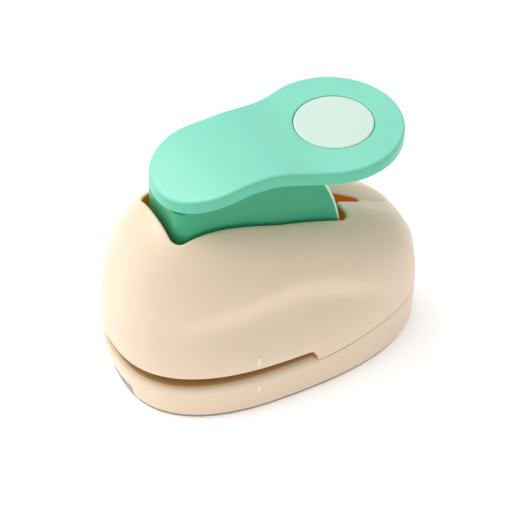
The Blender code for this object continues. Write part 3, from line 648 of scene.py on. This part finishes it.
def centre_marks():
    """Small moulded ribs on both flanks that show where the punch's centre lies."""
    half_width, proud, root, edge = 0.5, 0.3, 0.8, 0.2
    front, rear = PUNCH_Y - half_width, PUNCH_Y + half_width
    upper = ("upper", 20.0, 23.4, BULGE_SIZES, 0.1)
    lower = ("lower", 8.2, 11.2, wall_sizes(9.7), 0.0)
    for side, sign in (("right", 1), ("left", -1)):
        for level, low, high, sizes, sunk in (upper, lower):
            turn = math.atan2(PUNCH_Y - MIDDLE_Y, sizes[0])
            x = oval_reach(turn, sizes) * math.cos(turn) - sunk
            inner, outer = sorted(((x - root) * sign, (x + proud) * sign))
            mark = rounded_box(f"centre_mark_{level}_{side}", (inner, front, low),
                               (outer, rear, high), edge, TICK, "housing")


centre_marks()


# ------------------------------------------------------------------- lever


def pad_height(y):
    """Height of the pad's top: level round the disc, arched in front of it, and falling away."""
    ahead = BADGE_Y - y
    if ahead < ARCH_START:
        return PAD_TOP
    if ahead < ARCH_CREST:
        share = (ahead - ARCH_START) / (ARCH_CREST - ARCH_START)
        return PAD_TOP + ARCH_RISE * math.sin(share * math.pi / 2) ** 2
    return PAD_TOP + ARCH_RISE - ARCH_FALL * (ahead - ARCH_CREST) ** 2


def pad_outline(inset):
    """Two round lobes joined by hollow arcs, from the rear tip round to the right and back."""
    rear_y, rear_r = PAD_REAR
    front_y, front_r = PAD_FRONT
    # The hollow's radius is found by halving, so that the arcs meet both lobes smoothly.
    low, high = 1.0, 500.0
    for _ in range(60):
        hollow = (low + high) / 2
        reach = math.sqrt((rear_r + hollow) ** 2 - (PAD_WAIST + hollow) ** 2)
        reach += math.sqrt((front_r + hollow) ** 2 - (PAD_WAIST + hollow) ** 2)
        low, high = (hollow, high) if reach < rear_y - front_y else (low, hollow)
    centre_x = PAD_WAIST + hollow
    centre_y = rear_y - math.sqrt((rear_r + hollow) ** 2 - centre_x**2)
    rear_turn = math.degrees(math.atan2(centre_y - rear_y, centre_x))
    front_turn = math.degrees(math.atan2(centre_y - front_y, centre_x))
    half = arc(0, rear_y, rear_r - inset, 90, rear_turn, 60)[:-1]
    half += arc(centre_x, centre_y, hollow + inset, 180 + rear_turn, 180 + front_turn, 40)[:-1]
    half += arc(0, front_y, front_r - inset, front_turn, 0, 8)[:-1]
    steps = 48
    for i in range(steps):
        turn = math.pi / 2 * i / (steps - 1)
        out = (front_r - inset) * abs(math.cos(turn)) ** (2 / PAD_FRONT_POWER)
        down = (PAD_FRONT_REACH - inset) * abs(math.sin(turn)) ** (2 / PAD_FRONT_POWER)
        half.append((out if i < steps - 1 else 0.0, front_y - down))
    return half + [(-x, y) for x, y in half[-2:0:-1]]


def pad_ring(inset, depth):
    """The pad's outline at an inset, that far under its top."""
    return [(x, y, pad_height(y) - depth) for x, y in pad_outline(inset)]


def toward_badge(ring, radius, share, depth):
    """A ring part of the way from the pad's edge to a circle round the disc's middle."""
    points = []
    for x, y, z in ring:
        turn = math.atan2(y - BADGE_Y, x)
        cx, cy = radius * math.cos(turn), BADGE_Y + radius * math.sin(turn)
        px, py = x + (cx - x) * share, y + (cy - y) * share
        points.append((px, py, pad_height(py) - depth))
    return points


def round_rings(inset, depth, radius, from_top=True):
    """Quarter-round rings between a level face and the pad's side."""
    rings = []
    for angle in (90, 75, 60, 45, 30, 15, 0):
        bend = math.radians(angle if from_top else 90 - angle)
        out = radius * (1 - math.cos(bend))
        down = radius * (1 - math.sin(bend))
        rings.append(pad_ring(inset + out, depth + down if from_top else depth - down))
    return rings


def make_pad():
    """The pad as rings: the disc's seat, the top, the round edge and side, the underside."""
    edge_top, edge_low = 1.0, 1.5
    top_edge = pad_ring(edge_top, 0)
    seat = BADGE_RADIUS + BADGE_GAP
    rim = seat + 0.3
    seat_profile = [(0.0, 0.95), (seat - 0.3, 0.95), (seat, 0.75), (seat, 0.3), (seat + 0.1, 0.1),
                    (rim, 0.0)]
    rings = [toward_badge(top_edge, radius, 1.0, depth) for radius, depth in seat_profile]
    rings += [toward_badge(top_edge, rim, 1 - i / 30, 0.0) for i in range(1, 30)]
    rings += round_rings(0.0, 0.0, edge_top)
    rings += round_rings(0.0, PAD_THICK, edge_low, from_top=False)
    low_edge = pad_ring(edge_low, PAD_THICK)
    rings += [toward_badge(low_edge, 0.4, i / 12, PAD_THICK) for i in range(1, 13)]
    rays = len(top_edge)
    # The side's painted shade starts part of the way down the top's round edge; the underside has
    # it too.
    side = len(rings) - 22
    points = [point for ring in rings for point in ring]
    faces = skin(rings, closed_profile=True)
    tags = [2 if i // rays >= side else 0 for i in range(len(faces))]
    return points, faces, tags


def skirt_ring(inset, level):
    """The skirt's outline. level is a function that gives the height at each y."""
    half = SKIRT_HALF_WIDTH - inset
    lift = level(0.0) - PIVOT[1]
    rear = PIVOT[0] + math.sqrt((SKIRT_REAR_RADIUS - inset) ** 2 - lift**2)
    front = SKIRT_FRONT + inset
    front_round = SKIRT_CORNER["front"] - inset
    rear_round = max(SKIRT_CORNER["rear"] - inset, 0.5)
    top, low = rear - rear_round, front + front_round
    outline = [(0.0, rear), (half * 0.5, rear)]
    outline += arc(half - rear_round, top, rear_round, 90, 0, CORNER_STEPS["rear"])
    outline += [(half, top + (low - top) * i / 40) for i in range(1, 40)]
    outline += arc(half - front_round, low, front_round, 0, -90, CORNER_STEPS["front"])
    outline += [((half - front_round) * 0.5, front), (0.0, front)]
    outline += [(-x, y) for x, y in outline[-2:0:-1]]
    return [(x, y, level(y)) for x, y in outline]


def skirt_foot(y):
    """The skirt's lower edge: level under the hand, raised round the pivot at the front."""
    return SKIRT_FOOT + 8.5 * (1 - smooth_step(y, PIVOT[0] + 3.4, PIVOT[0] + 9.5))


def skirt_level(share):
    """Heights that lie a share of the way from the skirt's foot to just inside the pad."""
    overlap = 0.4

    def height(y):
        foot = skirt_foot(y)
        return foot + (pad_height(y) - PAD_THICK + overlap - foot) * share

    return height


def make_skirt():
    """The skirt as rings: up the outside and down the inside."""
    rings = [skirt_ring(0.5, skirt_level(0.0))]
    rings += [skirt_ring(0.0, skirt_level(k / SKIRT_LEVELS)) for k in range(1, SKIRT_LEVELS + 1)]
    for k in range(SKIRT_LEVELS, -1, -1):
        rings.append(skirt_ring(SKIRT_WALL, skirt_level(k / SKIRT_LEVELS)))
    points = []
    for ring in rings:
        for x, y, z in ring:
            if y > 10:
                limit = PIVOT[0] + math.sqrt(SKIRT_REAR_RADIUS**2 - (z - PIVOT[1]) ** 2)
                y = min(y, limit)
            points.append((x, y, z))
    return points, skin(rings, closed_profile=True)


def x_ring(outline, x):
    """A (y, z) outline placed at one x."""
    return [(x, y, z) for y, z in outline]


def make_ear(sign):
    """The lug with the pin's bore that hangs from one side of the skirt."""
    top = SKIRT_FOOT + 11.5
    outline = arc(*PIVOT, KNUCKLE_RADIUS, 180, 360, 13)
    outline += [(PIVOT[0] + 7, top), (PIVOT[0] + 4, top), (PIVOT[0] + 1.2, top)]
    bore = []
    for y, z in outline:
        turn = math.atan2(z - PIVOT[1], y - PIVOT[0])
        bore.append((PIVOT[0] + BORE_RADIUS * math.cos(turn),
                     PIVOT[1] + BORE_RADIUS * math.sin(turn)))
    inner, outer = (SKIRT_HALF_WIDTH - SKIRT_WALL) * sign, SKIRT_HALF_WIDTH * sign
    return [x_ring(outline, inner), x_ring(outline, outer), x_ring(bore, outer),
            x_ring(bore, inner)]


def make_lever_core():
    """The lever's ears, and the web with the round nose that presses on the ram."""
    points, faces = [], []
    for sign in (1, -1):
        rings = make_ear(sign)
        faces += skin(rings, closed_profile=True, start=len(points))
        points += [point for ring in rings for point in ring]
    reach = SKIRT_HALF_WIDTH - SKIRT_WALL + 0.5
    nose_z = PIVOT[1] + NOSE_RADIUS
    web_top = pad_height(PUNCH_Y) - PAD_THICK + 0.8
    nose = arc(PUNCH_Y, nose_z, NOSE_RADIUS, 150, 390, 28)
    nose += [(PUNCH_Y + 1.2, nose_z + 4), (PUNCH_Y + 1.2, web_top), (PUNCH_Y - 1.2, web_top),
             (PUNCH_Y - 1.2, nose_z + 4)]
    start, count = len(points), len(nose)
    faces += skin([nose, nose], start=start)
    faces += [tuple(range(start, start + count)), tuple(range(start + count, start + 2 * count))]
    points += x_ring(nose, -reach) + x_ring(nose, reach)
    # Painted shade: the core takes the skirt's darker mint.
    return mesh_object("lever_core", points, faces, [MINT_SHADED], None, 35)


def make_lever():
    """The pad and the skirt, with a painted highlight down the skirt's rear corners and painted
    shade on the rest of the skirt.
    """
    points, faces, tags = make_pad()
    more, more_faces = make_skirt()
    start, count = len(points), len(skirt_ring(0.0, skirt_foot))
    points += more
    # Faces round the skirt's rear corners get the painted highlight; the rest of the skirt gets
    # the painted shade.
    for i in range(len(more_faces)):
        step = min(i % count, count - 1 - i % count)
        tags.append(3 if 5 <= step <= 8 and i // count < SKIRT_LEVELS else 1)
    faces += [tuple(start + i for i in face) for face in more_faces]
    paints = [MINT, MINT_SHADED, MINT_SIDE_SHADE, MINT_HIGHLIGHT]
    return mesh_object("lever_skin", points, faces, paints, tags, 35)


lever = make_lever()
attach(lever, "lever")
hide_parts("lever")


core = make_lever_core()
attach(core, "lever")


def make_badge():
    """The pale disc, with a round edge. Its profile gives insets from the edge, and depths."""
    hub = BADGE_RADIUS - 0.3
    profile = [(hub, 0.0), (8.7, 0.0), (4.7, 0.0), (0.7, 0.0), (0.35, 0.02), (0.15, 0.09),
               (0.04, 0.2), (0.0, 0.34), (0.0, BADGE_THICK), (hub, BADGE_THICK)]
    turns = [2 * math.pi * i / BADGE_RAYS for i in range(BADGE_RAYS)]
    rings = []
    for inset, depth in profile:
        reach = BADGE_RADIUS - inset
        rings.append([
            (reach * math.cos(turn), BADGE_Y + reach * math.sin(turn), PAD_TOP - depth)
            for turn in turns
        ])
    points = [point for ring in rings for point in ring]
    faces = skin(rings)
    faces.append(tuple(range(BADGE_RAYS)))
    faces.append(tuple(range(len(points) - BADGE_RAYS, len(points))))
    return mesh_object("badge_skin", points, faces, [PALE], None, 40)


badge = make_badge()
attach(badge, "lever")
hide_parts("shape_badge")


# ----------------------------------------------------- floor, light, camera


def floor():
    mesh = bpy.data.meshes.new("floor")
    side = 6.0  # half of its width, in metres
    mesh.from_pydata([(-side, -side, 0), (side, -side, 0), (side, side, 0), (-side, side, 0)],
                     [], [(0, 1, 2, 3)])
    mesh.materials.append(FLOOR)
    obj = bpy.data.objects.new("floor", mesh)
    bpy.context.scene.collection.objects.link(obj)


def direction(azimuth, elevation):
    """Unit vector in degrees. Azimuth 0 points to the front of the object, and 90 to its right."""
    turn, lift = math.radians(azimuth), math.radians(elevation)
    level = math.cos(lift)
    return Vector((math.sin(turn) * level, -math.cos(turn) * level, math.sin(lift)))


def area_light(name, azimuth, elevation, distance, size, power, aim=(0, 0, 0.03)):
    """A square soft light, in metres and watts."""
    data = bpy.data.lights.new(name, "AREA")
    data.shape = "SQUARE"
    data.size = size
    data.energy = power
    obj = bpy.data.objects.new(name, data)
    back = direction(azimuth, elevation)
    obj.location = Vector(aim) + back * distance
    obj.rotation_euler = (-back).to_track_quat("-Z", "Y").to_euler()
    bpy.context.scene.collection.objects.link(obj)


def world(strength):
    made = bpy.data.worlds.new("studio")
    made.use_nodes = True
    sky = made.node_tree.nodes["Background"]
    sky.inputs["Color"].default_value = (1, 1, 1, 1)
    sky.inputs["Strength"].default_value = strength
    bpy.context.scene.world = made


def camera(azimuth, elevation, distance, target, lens, shift):
    data = bpy.data.cameras.new("camera")
    data.sensor_width = 36
    data.lens = lens
    data.shift_x, data.shift_y = shift
    data.clip_start = 0.05
    data.clip_end = 20
    obj = bpy.data.objects.new("camera", data)
    back = direction(azimuth, elevation)
    obj.location = Vector(target) + back * distance
    obj.rotation_euler = (-back).to_track_quat("-Z", "Y").to_euler()
    bpy.context.scene.collection.objects.link(obj)
    bpy.context.scene.camera = obj


floor()
world(0.59)
area_light("key", azimuth=-48, elevation=60, distance=0.9, size=0.8, power=6.5)
area_light("front", azimuth=5, elevation=28, distance=1.2, size=0.6, power=0.4)
camera(azimuth=62.5, elevation=43.2, distance=0.8, target=(0, -0.0033, 0.03), lens=170.76,
       shift=(0.0185, 0.0148))
